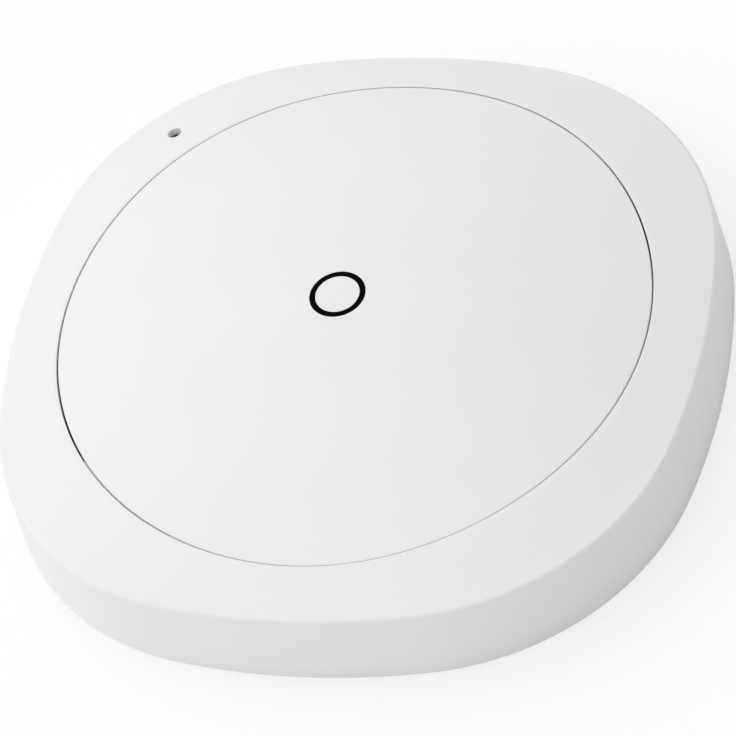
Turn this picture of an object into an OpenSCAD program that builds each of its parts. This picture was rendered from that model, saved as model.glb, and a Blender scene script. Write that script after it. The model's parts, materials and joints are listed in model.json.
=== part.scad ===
// Smart button: a pillow-shaped wall button with a large round cap, a pull-off back and a coin cell.
// The wall side lies on Z = 0, +Z points at the user, +Y is up on the wall.

/* [Body] */
// Width across the flats at the wall side
body_w = 70; // [68:0.5:76]
// Radius of the bowed sides
side_r = 69; // [55:1:100]
// Radius of the rounded corners
corner_r = 26.5; // [24:0.5:30]
// Lean of each side from the rim to the top edge
side_lean = 0.3; // [0.1:0.05:0.8]
// Height of the top edge above the wall
edge_z = 8.9; // [8.8:0.1:11]
// Rise of the crown from the top edge to the middle
crown_h = 5.7; // [4.8:0.1:7]
// Radius of the rounded top edge
edge_r = 0.5; // [0.4:0.1:1.4]
// Radius of the rounded rim at the wall side
rim_r = 0.4; // [0.2:0.1:0.7]
// Thickness of the moulded walls
wall_t = 1.8; // [1.4:0.1:2.2]
// Gap between the housing's rim and the wall
rim_gap = 0.3; // [0.2:0.05:0.6]
// Thickness of the collar round the opening
collar_t = 1.4; // [1:0.1:1.6]
// Width of the notch that a fingernail or a coin pulls the front off by
notch_w = 9; // [5:0.5:16]
// Height of that notch
notch_h = 0.9; // [0.5:0.1:1.4]

/* [Button] */
// Distance from the body's side to the button
side_margin = 5.85; // [5.5:0.05:7]
// Gap around the button
button_gap = 0.2; // [0.15:0.05:0.35]
// Travel of the button
button_travel = 0.5; // [0.3:0.05:0.7]
// Thickness of the button's crown
cap_t = 1.8; // [1.4:0.1:2.2]
// Thickness of the button's skirt
skirt_t = 1.4; // [1:0.1:2]
// Arc of each guide land in the seam, in degrees
land_arc = 14.6; // [10:0.2:20]
// Depth of the guide lands below the surface
land_drop = 0.25; // [0.15:0.05:0.6]
// Reach of each snap hook under the housing's collar
hook_reach = 0.75; // [0.5:0.05:0.9]
// Height of each snap hook
hook_h = 0.6; // [0.5:0.05:0.8]
// Thickness of the ribs under the button
rib_t = 1; // [0.7:0.1:1.6]
// Outer diameter of the ring mark
ring_d = 5.5; // [4:0.1:12]
// Sideways offset of the ring mark from the middle of the button
ring_x = -0.65; // [-1:0.05:1]
// Line width of the ring mark
ring_line = 0.55; // [0.3:0.05:1]
// Depth of the ring mark
ring_depth = 0.3; // [0.2:0.05:0.5]

/* [Indicator] */
// Diameter of the indicator hole
light_d = 1.4; // [1:0.1:1.8]
// Distance from the opening's edge to the middle of the indicator hole
light_in = 3.8; // [3.7:0.05:4.3]
// Depth of the light pipe's end below the surface
light_drop = 0.9; // [0.4:0.1:1.2]
// Diameter of the light pipe's flange
light_flange_d = 2.6; // [2.2:0.1:3]
// Height of the light pipe's flange
light_flange_h = 0.8; // [0.5:0.1:0.9]

/* [Rear cover] */
// Thickness of the rear cover's plate
plate_t = 1.4; // [1.2:0.1:2]
// Height of the rear cover's rim above its plate
lip_h = 2.3; // [1.5:0.1:2.6]
// Thickness of the rear cover's rim
lip_t = 1.2; // [0.9:0.1:1.6]
// Distance between the two wall-screw holes
wall_hole_pitch = 44; // [40:1:50]
// Diameter of the wall-screw holes
wall_hole_d = 4.2; // [3.5:0.1:5]
// Diameter of the countersink for a wall screw's head
wall_head_d = 8; // [7:0.5:10]
// Gap between the rear cover's edge and the housing's wall
cover_clearance = 0.15; // [0.1:0.05:0.25]

/* [Board] */
// Thickness of the circuit board
board_t = 1; // [0.8:0.1:1.6]
// Gap between the circuit board and the housing
board_clearance = 0.4; // [0.3:0.05:0.6]
// Shank diameter of the board screws
screw_d = 1.9; // [1.7:0.1:2.2]
// Depth of the board screws in their bosses
screw_depth = 2.2; // [1.8:0.1:2.4]
// Head diameter of the board screws
screw_head_d = 3.6; // [3.2:0.1:4]
// Diameter of the screw bosses
boss_d = 4.2; // [3.8:0.1:4.4]

/* [Press switch] */
// Width of the press switch
switch_w = 6.2; // [5.5:0.1:8]
// Height of the press switch's base
switch_h = 3.2; // [3:0.1:3.6]
// Diameter of the press switch's plunger
plunger_d = 3.4; // [2.8:0.1:3.8]
// Height of the plunger above the switch's metal cover
plunger_rise = 1.2; // [0.9:0.1:1.4]

/* [Coin cell] */
// Diameter of the coin cell
cell_d = 20; // [16:0.5:23]
// Height of the coin cell
cell_h = 3.2; // [2.5:0.1:3.3]
// Thickness of the sheet metal contacts
contact_t = 0.3; // [0.2:0.05:0.35]
// Thickness of the battery holder's wall
holder_t = 1.5; // [1.2:0.1:2]

/* [Reset switch] */
// Length of the reset switch
reset_l = 4.2; // [3.8:0.1:5]
// Width of the reset switch
reset_w = 3.2; // [3:0.1:4]
// Height of the reset switch's base
reset_h = 1.5; // [1.3:0.1:1.8]
// Travel of the reset switch
reset_travel = 0.25; // [0.15:0.05:0.3]

/* [Radio] */
// Length of the radio module
radio_l = 16; // [14:0.5:18]
// Width of the radio module
radio_w = 11; // [9:0.5:12]
// Length of the radio module's metal can
shield_l = 11; // [9:0.5:11.5]
// Height of the radio module's metal can
shield_h = 1.8; // [1.2:0.1:2]

/* [Hidden] */
$fn = 96;

// Small fits, in mm
slide_fit = 0.05;
seat_fit = 0.05;
run_fit = 0.15;
air = 0.3;
cut = 1;

// Outline: each side is one arc and each corner another, tangent where they meet
side_steps = 8;
corner_steps = 16;
side_back = side_r - body_w / 2;
turn = acos(side_back / ((side_r - corner_r) * sqrt(2))) - 45;
corner_out = (side_r - corner_r) * sin(turn);

function spin(p, a) = [p.x * cos(a) - p.y * sin(a), p.x * sin(a) + p.y * cos(a)];
// A station is the direction that the outline faces, the centre of its arc and the arc's radius
function side_station(q, i) =
    [90 * q - turn + 2 * turn * i / side_steps, spin([-side_back, 0], 90 * q), side_r];
function corner_station(q, i) =
    [90 * q + turn + (90 - 2 * turn) * i / corner_steps, spin([corner_out, corner_out], 90 * q), corner_r];
stations = [for (q = [0:3]) each concat(
    [for (i = [0:side_steps - 1]) side_station(q, i)],
    [for (i = [0:corner_steps - 1]) corner_station(q, i)])];
function facing(s) = [cos(s[0]), sin(s[0])];
function outline_point(s, inset) = s[1] + (s[2] - inset) * facing(s);
function outline(inset) = [for (s = stations) outline_point(s, inset)];
function corner_reach(inset) = corner_out * sqrt(2) + corner_r - inset;

// Crown: a dome that meets the top edge at one height all the way round
apex_z = edge_z + crown_h;
edge_half = body_w / 2 - side_lean;
corner_ratio = corner_reach(side_lean) / edge_half;
square_share = (corner_ratio ^ 2 - 1) / (1 + corner_ratio ^ 4);
dome_drop = crown_h / (1 + square_share);
square_drop = crown_h - dome_drop;
dome_r = edge_half ^ 2 / (2 * dome_drop);
function crown_z(p) =
    let (u = p.x / edge_half, v = p.y / edge_half)
    apex_z - dome_drop * (u ^ 2 + v ^ 2) - square_drop * (u ^ 4 - 6 * u ^ 2 * v ^ 2 + v ^ 4);
// Slope of the crown where it comes to the edge, in the direction that the outline faces
function crown_fall(s) =
    let (p = outline_point(s, side_lean), u = p.x / edge_half, v = p.y / edge_half)
    let (du = 2 * dome_drop * u + square_drop * (4 * u ^ 3 - 12 * u * v ^ 2))
    let (dv = 2 * dome_drop * v + square_drop * (4 * v ^ 3 - 12 * u ^ 2 * v))
    atan([du, dv] * facing(s) / edge_half);

// Housing skin, as rings from the rim up the wall, over the rounded edge and in across the crown
edge_steps = 5;
rim_steps = 3;
crown_rows = 4;
lean_angle = atan(side_lean / (edge_z - rim_gap));
function edge_sweep(s) = 90 - lean_angle - crown_fall(s);
function edge_length(s) = edge_r * tan(edge_sweep(s) / 2);
function edge_point(s, share) =
    let (back = edge_length(s))
    let (mid = [side_lean - back * sin(lean_angle) + edge_r * cos(lean_angle),
                edge_z - back * cos(lean_angle) - edge_r * sin(lean_angle)])
    let (a = 180 - lean_angle - share * edge_sweep(s))
    let (q = mid + edge_r * [cos(a), sin(a)])
    concat(outline_point(s, q.x), q.y);
function rim_point(s, share) =
    concat(outline_point(s, rim_r * (1 - sin(90 * share))), rim_gap + rim_r * (1 - cos(90 * share)));
function crown_point(s, share) =
    let (near = edge_length(s))
    let (p = outline_point(s, side_lean + near + (crown_depth - near) * share))
    concat(p, crown_z(p));

// Heights, from the wall side up
clip_z = plate_t + air;
cell_z = clip_z + contact_t + seat_fit;
contact_top = cell_z + cell_h + contact_t;
board_z = contact_top + seat_fit;
board_top = board_z + board_t;
hook_z = board_top + button_travel + run_fit + seat_fit;
hook_top = hook_z + hook_h;
collar_z = hook_top + 2 * seat_fit;
skirt_z = collar_z + hook_h;
lip_z = plate_t + lip_h;

// Radii of the opening and of what runs in it
button_d = body_w - 2 * side_margin;
cap_r = button_d / 2;
bore_r = cap_r + button_gap;
land_r = bore_r - slide_fit;
skirt_in_r = cap_r - skirt_t;
collar_r = bore_r + collar_t;
crown_depth = corner_reach(side_lean) - bore_r + cut;
corner_angle = 45;
corner_angles = [for (q = [0:3]) corner_angle + 90 * q];
light_angle = corner_angles[1];
screw_angles = [for (a = corner_angles) if (a != light_angle) a];
light_r = bore_r + light_in;
boss_gap = 1.1;
boss_r = bore_r + boss_gap + boss_d / 2;

// Closed skin through rings of equal length, from the lowest ring to the innermost top ring
module skin(rings, top_z) {
    n = len(rings[0]);
    last = n * (len(rings) - 1);
    foot = n * len(rings);
    bands = [for (j = [0:len(rings) - 2], i = [0:n - 1])
        let (a = j * n + i, b = j * n + (i + 1) % n)
        each [[a, a + n, b + n], [a, b + n, b]]];
    foot_fan = [for (i = [0:n - 1]) [foot, i, (i + 1) % n]];
    top_fan = [for (i = [0:n - 1]) [foot + 1, last + (i + 1) % n, last + i]];
    points = concat([for (r = rings) each r], [[0, 0, rings[0][0].z], [0, 0, top_z]]);
    polyhedron(points, concat(bands, foot_fan, top_fan), convexity = 4);
}

module slab(inset, z, h) {
    translate([0, 0, z]) linear_extrude(h) polygon(outline(inset));
}

module pin(r, z, h) {
    translate([0, 0, z]) cylinder(r = r, h = h);
}

module at_corner(angle, reach) {
    rotate(angle) translate([reach, 0, 0]) children();
}

// Block centred on X and Y
module block(size, z) {
    translate([-size.x / 2, -size.y / 2, z]) cube(size);
}

// Part of a ring, centred on the X axis
module ring_piece(profile, arc) {
    rotate(-arc / 2) rotate_extrude(angle = arc) polygon(profile);
}

// Rear cover
cover_inset = wall_t + cover_clearance;
wall_pad_h = 1.2;
countersink_h = (wall_head_d - wall_hole_d) / 2;
wall_pad_t = plate_t + wall_pad_h;
grip_r = 0.5;
grip_share = 0.6;

// Round bead on the rim that the housing grips
module grip_bead(a) {
    translate([-side_back, 0, 0]) rotate(a) translate([side_r - wall_t - seat_fit - grip_r, 0, 0])
        pin(grip_r, plate_t - air, lip_h);
}

module rear_cover() {
    color("white") difference() {
        union() {
            slab(cover_inset, 0, plate_t);
            difference() {
                slab(cover_inset, 0, lip_z);
                slab(cover_inset + lip_t, plate_t, lip_h + cut);
            }
            for (x = [-1, 1]) translate([x * wall_hole_pitch / 2, 0, 0])
                pin(wall_head_d / 2 + lip_t, 0, wall_pad_t);
            for (q = [0:90:270], side = [-1, 1]) rotate(q) grip_bead(side * turn * grip_share);
        }
        for (x = [-1, 1]) translate([x * wall_hole_pitch / 2, 0, 0]) {
            pin(wall_hole_d / 2, -cut, wall_pad_t + 2 * cut);
            translate([0, 0, wall_pad_t - countersink_h])
                cylinder(r1 = wall_hole_d / 2, r2 = wall_head_d / 2 + cut, h = countersink_h + cut);
        }
    }
}

// Front housing
ceiling_z = max(crown_z([collar_r, 0]) - wall_t, collar_z);
ceiling_low_z = crown_z([body_w / 2 - wall_t, 0]) - wall_t;
ceiling_slope = (ceiling_z - ceiling_low_z) / (body_w / 2 - wall_t - collar_r);
light_z = crown_z(light_r * [cos(light_angle), sin(light_angle)]);
led_h = 0.6;
light_foot = board_top + led_h + run_fit;
light_seat = light_foot + light_flange_h + seat_fit;
well_r = light_flange_d / 2 + seat_fit;
seat_rib_w = 2;
seat_rib_depth = 1.2;

module housing_blank() {
    rings = concat(
        [for (j = [0:rim_steps]) [for (s = stations) rim_point(s, j / rim_steps)]],
        [for (j = [0:edge_steps]) [for (s = stations) edge_point(s, j / edge_steps)]],
        [for (j = [1:crown_rows]) [for (s = stations) crown_point(s, j / crown_rows)]]);
    skin(rings, edge_z);
}

// Rib that rests on the rear cover's rim and keys the circuit board
module seat_rib() {
    translate([body_w / 2 - wall_t - seat_rib_depth, -seat_rib_w / 2, lip_z + seat_fit])
        cube([seat_rib_depth + cut, seat_rib_w, apex_z]);
}

module housing_hollow() {
    difference() {
        intersection() {
            slab(wall_t, -cut, apex_z);
            translate([0, 0, -cut]) cylinder(
                h = ceiling_z + cut, r1 = collar_r + (ceiling_z + cut) / ceiling_slope, r2 = collar_r);
        }
        difference() {
            pin(collar_r, collar_z, apex_z);
            pin(bore_r, collar_z - cut, apex_z);
        }
        for (a = screw_angles) at_corner(a, boss_r) pin(boss_d / 2, board_top, apex_z);
        at_corner(light_angle, light_r) pin(well_r + wall_t / 2, light_foot, apex_z);
        for (a = [0:90:270]) rotate(a) seat_rib();
    }
}

module front_housing() {
    color("white") difference() {
        housing_blank();
        housing_hollow();
        pin(bore_r, board_top, apex_z);
        for (a = screw_angles) at_corner(a, boss_r)
            pin(screw_d / 2 + seat_fit, board_top - cut, screw_depth + cut + air);
        at_corner(light_angle, light_r) {
            pin(light_d / 2, light_foot, apex_z);
            pin(well_r, light_foot - cut, light_seat - light_foot + cut);
        }
        translate([-notch_w / 2, body_w / 2 - wall_t - cut, -cut])
            cube([notch_w, wall_t + 2 * cut, rim_gap + notch_h + cut]);
    }
}

module light_pipe() {
    color("gainsboro", 0.6) at_corner(light_angle, light_r) {
        pin(light_flange_d / 2, light_foot, light_flange_h);
        pin(light_d / 2 - seat_fit, light_foot, light_z - light_drop - light_foot);
    }
}

// Circuit board and its screws
board_inset = wall_t + board_clearance;
screw_head_h = 1.2;
drive_w = 0.5;
drive_l = 2.2;
drive_depth = 0.7;

module circuit_board() {
    color("seagreen") difference() {
        slab(board_inset, board_z, board_t);
        for (a = screw_angles) at_corner(a, boss_r)
            pin(screw_d / 2 + run_fit, board_z - cut, board_t + 2 * cut);
        for (a = [0:90:270]) rotate(a)
            translate([body_w / 2 - wall_t - seat_rib_depth - board_clearance,
                       -seat_rib_w / 2 - board_clearance, board_z - cut])
                cube([wall_t + seat_rib_depth, seat_rib_w + 2 * board_clearance, board_t + 2 * cut]);
    }
}

module board_screw() {
    difference() {
        union() {
            pin(screw_head_d / 2, board_z - screw_head_h, screw_head_h);
            pin(screw_d / 2, board_z - screw_head_h, screw_head_h + board_t + screw_depth);
        }
        for (a = [0, 90]) rotate(a)
            block([drive_l, drive_w, drive_depth + cut], board_z - screw_head_h - cut);
    }
}

module board_screws() {
    color("silver") for (a = screw_angles) at_corner(a, boss_r) board_screw();
}

// Press switch
frame_t = 0.3;
switch_wall = 0.6;
switch_top = board_top + switch_h;
chamber_r = switch_w / 2 - switch_wall;
flange_r = chamber_r - run_fit;
dome_rise = button_travel + 2 * seat_fit;
dome_t = 0.1;
dome_foot_r = chamber_r - 2 * run_fit;
dome_curve = (dome_foot_r ^ 2 + dome_rise ^ 2) / (2 * dome_rise);
chamber_z = board_top + switch_h / 3;
flange_z = chamber_z + dome_rise + seat_fit;
plunger_top = switch_top + frame_t + plunger_rise;
leg_w = 0.7;
leg_reach = 1.4;
leg_t = 0.15;
leg_h = 0.8;
leg_pitch = 4.5;
tab_w = 3;

module switch_base() {
    color("dimgray") difference() {
        block([switch_w, switch_w, switch_h], board_top);
        pin(chamber_r, chamber_z, switch_h);
    }
}

module switch_terminals() {
    leg = [[0, 0], [leg_reach, 0], [leg_reach, leg_t], [leg_t, leg_t], [leg_t, leg_h], [0, leg_h]];
    color("silver") for (side = [0, 180], y = [-1, 1]) rotate(side)
        translate([switch_w / 2, y * leg_pitch / 2 + leg_w / 2, board_top])
            rotate([90, 0, 0]) linear_extrude(leg_w) polygon(leg);
}

module switch_dome() {
    color("gold") translate([0, 0, chamber_z + dome_rise - dome_curve]) intersection() {
        difference() {
            sphere(r = dome_curve);
            sphere(r = dome_curve - dome_t);
        }
        pin(dome_curve, dome_curve - dome_rise, dome_curve);
    }
}

module switch_frame() {
    color("silver") {
        difference() {
            block([switch_w, switch_w + 2 * frame_t, frame_t], switch_top);
            pin(plunger_d / 2 + run_fit, switch_top - cut, frame_t + 2 * cut);
        }
        for (a = [0, 180]) rotate(a) translate([-tab_w / 2, switch_w / 2, board_top + switch_h / 2])
            cube([tab_w, frame_t, switch_h / 2 + frame_t]);
    }
}

module switch_plunger() {
    color("black") {
        pin(flange_r, flange_z, switch_top - seat_fit - flange_z);
        pin(plunger_d / 2, flange_z, plunger_top - flange_z);
    }
}

// Coin cell, its holder and its contacts
holder_in_r = cell_d / 2 + air;
holder_out_r = holder_in_r + holder_t;
holder_z = cell_z + air;
cell_step_h = 0.3;
cell_rim_w = 1.1;
cell_step_r = cell_d / 2 - cell_rim_w;
cell_edge = 0.25;
holder_mouth = 16.4;
clip_w = 6;
clip_foot = 2;
clip_x = holder_out_r + air;
contact_w = 4;
contact_l = 12;
dimple_r = 1.6;
dimple_h = 0.1;
contact_flat = contact_t - dimple_h;

module battery_holder() {
    color("black") difference() {
        pin(holder_out_r, holder_z, board_z - holder_z);
        pin(holder_in_r, holder_z - cut, board_z);
        translate([-holder_mouth / 2, -holder_out_r - cut, holder_z - cut])
            cube([holder_mouth, holder_out_r, board_z]);
    }
}

module positive_clip() {
    half = [[0, clip_z], [clip_x + contact_t, clip_z], [clip_x + contact_t, board_z - contact_t],
            [clip_x + clip_foot, board_z - contact_t], [clip_x + clip_foot, board_z], [clip_x, board_z],
            [clip_x, clip_z + contact_t], [0, clip_z + contact_t]];
    color("silver") for (side = [0, 180]) rotate(side)
        translate([0, clip_w / 2, 0]) rotate([90, 0, 0]) linear_extrude(clip_w) polygon(half);
}

module negative_contact() {
    curve = (dimple_r ^ 2 + dimple_h ^ 2) / (2 * dimple_h);
    color("silver") {
        block([contact_l, contact_w, contact_flat], board_z - contact_flat);
        translate([0, 0, board_z - contact_t + curve]) difference() {
            sphere(r = curve);
            pin(curve + cut, dimple_h - curve + contact_flat / 2, 2 * curve);
        }
    }
}

module coin_cell() {
    step_z = cell_h - cell_step_h;
    r = cell_d / 2;
    profile = [[0, 0], [r - cell_edge, 0], [r, cell_edge], [r, step_z - cell_edge], [r - cell_edge, step_z],
               [cell_step_r + cell_edge, step_z], [cell_step_r, cell_h], [0, cell_h]];
    color("lightsteelblue") translate([0, 0, cell_z]) rotate_extrude() polygon(profile);
}

// Reset switch, on the back of the board
reset_place = [17, -17];
reset_stem_d = 1.5;
reset_wall = 0.4;
reset_chamber_r = reset_w / 2 - reset_wall;
reset_frame_t = 0.2;
reset_stem_rise = 0.6;
reset_z = board_z - reset_h;
reset_flange_h = 0.5;

module at_reset() {
    translate(reset_place) children();
}

module reset_base() {
    color("dimgray") at_reset() difference() {
        block([reset_l, reset_w, reset_h], reset_z);
        pin(reset_chamber_r, reset_z - cut, reset_flange_h + reset_travel + air + cut);
    }
}

module reset_frame() {
    color("silver") at_reset() difference() {
        block([reset_l, reset_w, reset_frame_t], reset_z - reset_frame_t);
        pin(reset_stem_d / 2 + run_fit, reset_z - cut, 2 * cut);
    }
}

module reset_plunger() {
    color("black") at_reset() {
        pin(reset_chamber_r - run_fit, reset_z + seat_fit, reset_flange_h);
        pin(reset_stem_d / 2, reset_z - reset_frame_t - reset_stem_rise,
            reset_stem_rise + reset_frame_t + seat_fit + reset_flange_h);
    }
}

// Radio module, below the press switch
radio_t = 0.8;
radio_y = -switch_w / 2 - leg_reach - radio_w / 2;
shield_margin = 0.8;
shield_x = -radio_l / 2 + shield_margin + shield_l / 2;
shield_w = radio_w - 2 * shield_margin;
trace_w = 0.5;
trace_t = 0.1;
trace_turns = 4;

module radio_module() {
    color("darkgreen") translate([0, radio_y, 0]) block([radio_l, radio_w, radio_t], board_top);
}

module radio_shield() {
    color("silver") translate([shield_x, radio_y, 0])
        block([shield_l, shield_w, shield_h], board_top + radio_t);
}

// Folded trace at the free end of the radio module
module radio_antenna() {
    near = shield_x + shield_l / 2 + shield_margin;
    far = radio_l / 2 - trace_w;
    pitch = shield_w / (2 * trace_turns);
    low = radio_y - shield_w / 2;
    color("goldenrod") translate([0, 0, board_top + radio_t]) {
        for (i = [0:2 * trace_turns - 1]) translate([near, low + i * pitch, 0])
            cube([far - near, trace_w, trace_t]);
        for (i = [0:2 * trace_turns - 2]) translate([i % 2 == 0 ? far - trace_w : near, low + i * pitch, 0])
            cube([trace_w, pitch + trace_w, trace_t]);
    }
}

// Small parts on the board
led_size = [2, 1.25, 0.3];
led_lens = [1.2, 1.25, led_h];
bulk_size = [7.3, 4.3, 2.6];
bulk_place = [14, 10];
capacitor_size = [2, 1.25, 0.8];
capacitor_row = [-16, 7];
capacitor_step = 2.6;
resistor_size = [1.6, 0.8, 0.5];
resistor_row = [-5, 17];
resistor_step = 1.8;
row_count = 4;
column_ratio = 1.5;
pad_d = 1.5;
pad_t = 0.1;
pad_step = 2.54;
pad_count = 5;
pad_gap = 4;
pad_y = holder_out_r + pad_gap;

module status_led() {
    color("ivory") at_corner(light_angle, light_r) {
        block(led_size, board_top);
        block(led_lens, board_top);
    }
}

module bulk_capacitor() {
    color("darkorange") translate(bulk_place) block(bulk_size, board_top);
}

module chip_capacitors() {
    color("tan") for (i = [0:row_count - 1], j = [0, 1])
        translate(capacitor_row + [j * column_ratio, i] * capacitor_step) block(capacitor_size, board_top);
}

module chip_resistors() {
    color("black") for (i = [0:row_count - 1], j = [0, 1])
        translate(resistor_row + [j * column_ratio, -i] * resistor_step) block(resistor_size, board_top);
}

module test_pads() {
    color("gold") for (i = [0:pad_count - 1])
        translate([(i - (pad_count - 1) / 2) * pad_step, pad_y, 0]) pin(pad_d / 2, board_z - pad_t, pad_t);
}

// Button cap
round_steps = 72;
round_rows = 6;
dome_steps = 200;
cap_boss_wall = 1.2;
cap_boss_r = plunger_d / 2 + cap_boss_wall;
cap_boss_z = plunger_top + seat_fit;
hook_r = bore_r + hook_reach;
hook_ramp = hook_h / 2;

module cap_blank() {
    reach = cap_r + cut;
    foot = [for (i = [0:round_steps - 1])
        let (a = 360 * i / round_steps) [reach * cos(a), reach * sin(a), skirt_z]];
    rows = [for (j = [round_rows:-1:1]) [for (i = [0:round_steps - 1])
        let (a = 360 * i / round_steps, p = reach * j / round_rows * [cos(a), sin(a)])
        concat(p, crown_z(p))]];
    skin(concat([foot], rows), apex_z);
}

module cap_hollow() {
    difference() {
        intersection() {
            translate([0, 0, apex_z - dome_r]) sphere(r = dome_r - cap_t, $fn = dome_steps);
            pin(skirt_in_r, hook_z - cut, apex_z);
        }
        pin(cap_boss_r, cap_boss_z, apex_z);
        for (a = [0, 90]) rotate(a) block([2 * cap_r, rib_t, apex_z], cap_boss_z);
    }
}

// Guide land, with the snap hook below it
module cap_guide() {
    end = corner_angle + land_arc / 2;
    land_top = crown_z(land_r * [cos(end), sin(end)]) - land_drop;
    ring_piece([[skirt_in_r, hook_z], [land_r, hook_z], [hook_r, hook_z + hook_ramp], [hook_r, hook_top],
                [land_r, hook_top], [land_r, land_top], [skirt_in_r, land_top]], land_arc);
}

module button_cap() {
    color("white") difference() {
        union() {
            intersection() {
                cap_blank();
                pin(cap_r, skirt_z - cut, apex_z);
            }
            for (a = corner_angles) rotate(a) cap_guide();
        }
        cap_hollow();
        translate([ring_x, 0, 0]) difference() {
            pin(ring_d / 2 + seat_fit / 2, apex_z - ring_depth, apex_z);
            pin(ring_d / 2 - ring_line - seat_fit / 2, 0, 2 * apex_z);
        }
    }
}

module ring_mark() {
    mark_z = crown_z([ring_d / 2 + abs(ring_x), 0]);
    color("black") translate([ring_x, 0, 0]) difference() {
        pin(ring_d / 2, apex_z - ring_depth, mark_z - apex_z + ring_depth);
        pin(ring_d / 2 - ring_line, 0, 2 * apex_z);
    }
}

rear_cover();
front_housing();
light_pipe();
circuit_board();
board_screws();
switch_base();
switch_terminals();
switch_dome();
switch_frame();
switch_plunger();
battery_holder();
positive_clip();
negative_contact();
coin_cell();
reset_base();
reset_frame();
reset_plunger();
radio_module();
radio_shield();
radio_antenna();
status_led();
bulk_capacitor();
chip_capacitors();
chip_resistors();
test_pads();
button_cap();
ring_mark();
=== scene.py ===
import json
import math

import bmesh
import bpy
from mathutils import Matrix, Vector

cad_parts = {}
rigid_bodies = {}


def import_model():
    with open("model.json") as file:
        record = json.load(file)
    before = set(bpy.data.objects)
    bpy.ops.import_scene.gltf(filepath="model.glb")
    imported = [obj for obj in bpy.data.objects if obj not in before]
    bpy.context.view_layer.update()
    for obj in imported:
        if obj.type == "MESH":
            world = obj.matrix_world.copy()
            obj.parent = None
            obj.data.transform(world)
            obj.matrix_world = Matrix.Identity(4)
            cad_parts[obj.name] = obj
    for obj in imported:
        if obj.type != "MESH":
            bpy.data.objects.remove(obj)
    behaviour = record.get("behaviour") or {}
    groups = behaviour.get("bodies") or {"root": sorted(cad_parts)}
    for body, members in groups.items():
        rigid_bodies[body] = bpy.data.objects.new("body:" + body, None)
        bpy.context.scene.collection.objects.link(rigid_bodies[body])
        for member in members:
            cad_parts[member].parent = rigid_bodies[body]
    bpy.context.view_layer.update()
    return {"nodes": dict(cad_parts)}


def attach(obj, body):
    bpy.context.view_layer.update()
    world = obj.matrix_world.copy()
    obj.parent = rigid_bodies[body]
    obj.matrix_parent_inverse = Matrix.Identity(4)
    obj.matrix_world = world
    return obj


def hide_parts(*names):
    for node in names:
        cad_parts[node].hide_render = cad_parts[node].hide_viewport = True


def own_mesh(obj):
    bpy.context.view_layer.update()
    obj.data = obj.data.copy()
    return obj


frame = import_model()


# Rear cover: the plate that stays on the wall, injection moulded in white ABS with a fine satin grain.
# A low rim stands round it, with eight small beads that the front housing clicks over.
# Two pads with countersunk holes take the wall screws.
mm = 0.001
weld_gap = 0.0005 * mm
body_w = 70
side_r = 69
corner_r = 26.5
wall_t = 1.8
side_back = side_r - body_w / 2
side_angle = math.acos(side_back / ((side_r - corner_r) * math.sqrt(2))) - math.pi / 4
corner_out = (side_r - corner_r) * math.sin(side_angle)


def begin(name):
    """A new piece at the origin with an empty mesh, open for editing."""
    bpy.ops.object.select_all(action="DESELECT")
    bpy.ops.mesh.primitive_plane_add(size=mm, location=(0, 0, 0))
    piece = bpy.context.object
    piece.name = name
    piece.data.name = name
    bpy.ops.object.mode_set(mode="EDIT")
    bpy.ops.mesh.select_mode(type="VERT")
    bpy.ops.mesh.delete(type="VERT")
    return piece


def pick(test, kind="VERT"):
    """Selects the open mesh's points, edges or faces whose middle passes the test."""
    bpy.ops.mesh.select_mode(type=kind)
    bpy.ops.mesh.select_all(action="DESELECT")
    mesh = bmesh.from_edit_mesh(bpy.context.object.data)
    for item in {"VERT": mesh.verts, "EDGE": mesh.edges, "FACE": mesh.faces}[kind]:
        corners = [item.co] if kind == "VERT" else [v.co for v in item.verts]
        if test(sum(corners, Vector()) / len(corners) / mm):
            item.select_set(True)
    mesh.select_flush_mode()
    bmesh.update_edit_mesh(bpy.context.object.data)


def draw(line, rounds=()):
    """Draws edges through the places of a line, rounds some of its corners and leaves it all selected."""
    bpy.ops.mesh.primitive_plane_add(size=mm, location=Vector(line[0]) * mm)
    bpy.ops.mesh.merge(type="CENTER")
    for here, there in zip(line, line[1:]):
        step = (Vector(there) - Vector(here)) * mm
        bpy.ops.mesh.extrude_region_move(TRANSFORM_OT_translate={"value": step})
    for corner, size, steps in rounds:
        pick(lambda p: (p - Vector(line[corner])).length < 0.001)
        bpy.ops.mesh.bevel(offset=size * mm, segments=steps, affect="VERTICES")
    pick(lambda p: (p - Vector(line[0])).length < 0.001)
    bpy.ops.mesh.select_linked()


def turn_about(x, y, steps, angle=2 * math.pi):
    """Turns the selected line about an upright axis into a skin."""
    bpy.ops.mesh.spin(steps=steps, angle=-angle, center=(x * mm, y * mm, 0), axis=(0, 0, 1))


def add_turned(x, y, profile, steps, rounds=()):
    """Adds a turned form about an upright axis, from a profile of distances from it and heights."""
    draw([(x + reach, y, z) for reach, z in profile], rounds)
    turn_about(x, y, steps)


def add_rod(x, y, radius, low, high, steps, rounds=()):
    """Adds an upright round bar; its lower edge is corner 1 and its upper edge corner 2."""
    add_turned(x, y, [(0, low), (radius, low), (radius, high), (0, high)], steps, rounds)


def sweep_outline(side_steps, corner_steps):
    """Sweeps the selected line, drawn over +X, once round the body: half a side, then corners and sides."""
    turn_about(-side_back, 0, side_steps // 2, side_angle)
    for quarter in range(4):
        way = Matrix.Rotation(quarter * math.pi / 2, 2)
        turn_about(*(way @ Vector((corner_out, corner_out))), corner_steps, math.pi / 2 - 2 * side_angle)
        share = 2 if quarter < 3 else 1
        middle = Matrix.Rotation((quarter + 1) * math.pi / 2, 2) @ Vector((-side_back, 0))
        turn_about(*middle, side_steps * share // 2, side_angle * share)


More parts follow.
